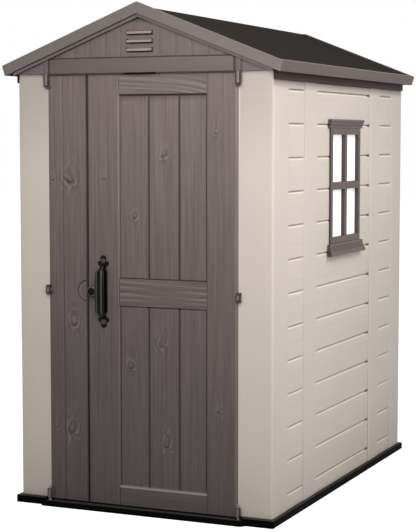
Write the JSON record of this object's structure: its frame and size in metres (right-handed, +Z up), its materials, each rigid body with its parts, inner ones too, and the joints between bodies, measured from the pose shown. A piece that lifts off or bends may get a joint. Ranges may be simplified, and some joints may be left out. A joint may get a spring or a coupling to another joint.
{
  "type": "plastic storage shed",
  "caption": "Gable-roofed resin garden shed with an opening double door, a barred side window, gable vents and a low black floor tray; hollow inside.",
  "frame": {"origin": "on the ground, at the middle of the roof's plan", "axes": "+Z up, the doors face -Y, the window is on the +X side"},
  "size_m": [1.236, 1.791, 2.07],
  "materials": {
    "beige_resin": "matt moulded resin with a faint wood grain",
    "brown_resin": "matt moulded resin with a wood grain",
    "roof_resin": "matt moulded resin",
    "black_resin": "matt moulded resin",
    "black_hardware": "satin, cast look",
    "pane": "frosted, translucent",
    "steel": "galvanised"
  },
  "bodies": {
    "root": {"floor_front": "black_resin", "floor_rear": "black_resin", "threshold": "black_resin", "roof_left": "roof_resin", "roof_right": "roof_resin", "ridge_cap": "roof_resin", "front_panel_left": "beige_resin", "front_panel_right": "beige_resin", "door_stop_left": "beige_resin", "door_stop_right": "beige_resin", "side_panel_left_front": "beige_resin", "side_panel_left_middle": "beige_resin", "side_panel_left_rear": "beige_resin", "side_panel_right_front": "beige_resin", "side_panel_right_middle": "beige_resin", "side_panel_right_rear": "beige_resin", "rear_panel_left": "beige_resin", "rear_panel_middle": "beige_resin", "rear_panel_right": "beige_resin", "eave_beam_left": "brown_resin", "eave_beam_right": "brown_resin", "lintel_front": "brown_resin", "lintel_rear": "brown_resin", "header": "brown_resin", "gable_front": "brown_resin", "gable_rear": "brown_resin", "vent_hoods_front": "brown_resin", "vent_hoods_rear": "brown_resin", "fascia_front_left": "brown_resin", "fascia_front_right": "brown_resin", "fascia_rear_left": "brown_resin", "fascia_rear_right": "brown_resin", "fascia_eave_left": "brown_resin", "fascia_eave_right": "brown_resin", "window_frame": "brown_resin", "window_head": "brown_resin", "window_sill": "brown_resin", "hinge_pins": "brown_resin", "window_panes": "pane", "ridge_tube": "steel"},
    "main_leaf": {"main_door": "brown_resin", "main_door_hinges": "brown_resin", "door_handle": "black_hardware"},
    "narrow_leaf": {"narrow_door": "brown_resin", "narrow_door_hinges": "brown_resin"},
    "latch_turn": {"latch": "black_hardware"}
  },
  "joints": [
    {"name": "main_hinge", "type": "hinge", "parent": "root", "child": "main_leaf", "pos_m": [0.426, -0.862, 0], "axis": [0, 0, 1], "range_deg": [0, 110]},
    {"name": "narrow_hinge", "type": "hinge", "parent": "root", "child": "narrow_leaf", "pos_m": [-0.426, -0.862, 0], "axis": [0, 0, -1], "range_deg": [0, 110]},
    {"name": "latch_pivot", "type": "hinge", "parent": "main_leaf", "child": "latch_turn", "pos_m": [-0.2195, -0.852, 0.906], "axis": [0, -1, 0], "range_deg": [0, 90]}
  ]
}
